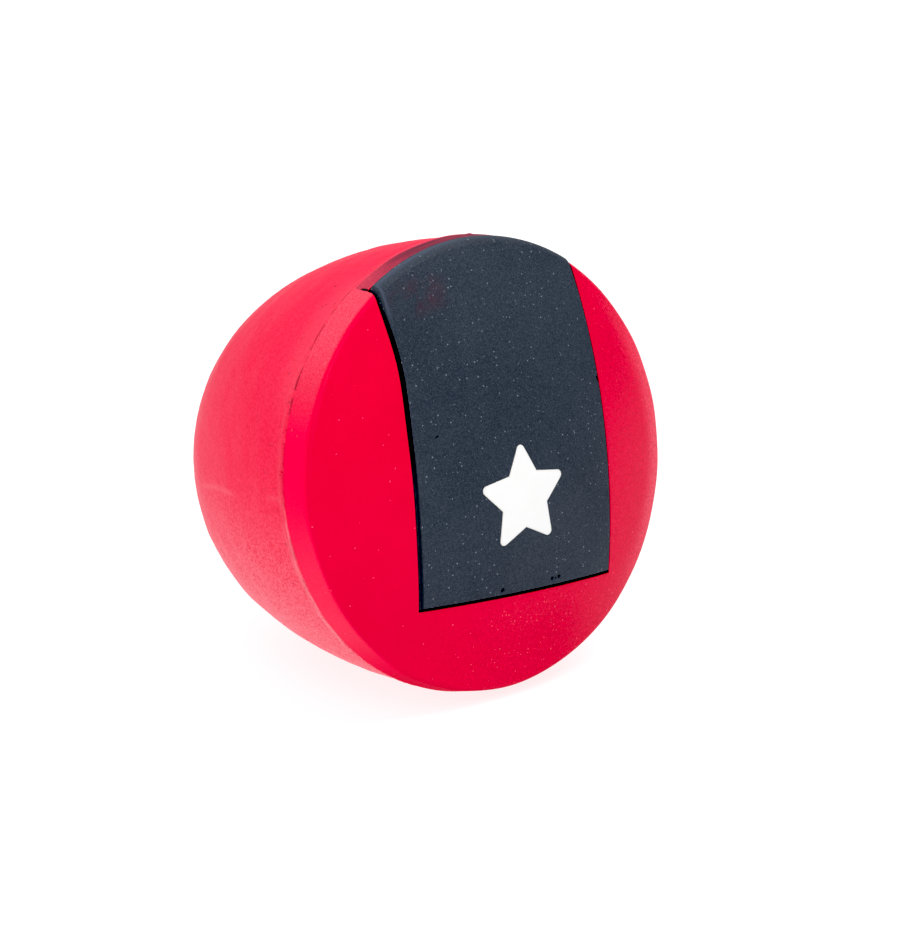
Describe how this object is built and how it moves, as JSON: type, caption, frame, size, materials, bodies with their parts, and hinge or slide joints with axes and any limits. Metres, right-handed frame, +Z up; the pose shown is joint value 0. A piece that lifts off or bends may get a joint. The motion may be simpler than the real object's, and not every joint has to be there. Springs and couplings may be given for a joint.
{
  "type": "soft moulded squeeze toy",
  "caption": "Palm-size soft rubber squeeze toy: shallow domed cap bonded to a tapered half-egg shell, dark strip inlaid from the rim down the face, white star, foam filling.",
  "frame": {"origin": "on the table under the middle of the toy's box, as it lies on its foot flat", "axes": "+Z up from the table, -Y is the side that the domed face with the strip looks to, X runs across the strip"},
  "size_m": [0.066, 0.0598, 0.0659],
  "materials": {
    "red_rubber": "matt moulded skin",
    "slate_rubber": "matt moulded skin",
    "white_rubber": "matt moulded skin",
    "foam": "open-cell foam",
    "adhesive": "cured adhesive"
  },
  "bodies": {
    "root": {"front_cap": "red_rubber", "rear_shell": "red_rubber", "stripe_panel": "slate_rubber", "emblem": "white_rubber", "foam_core": "foam", "seam_bond": "adhesive"}
  },
  "joints": []
}
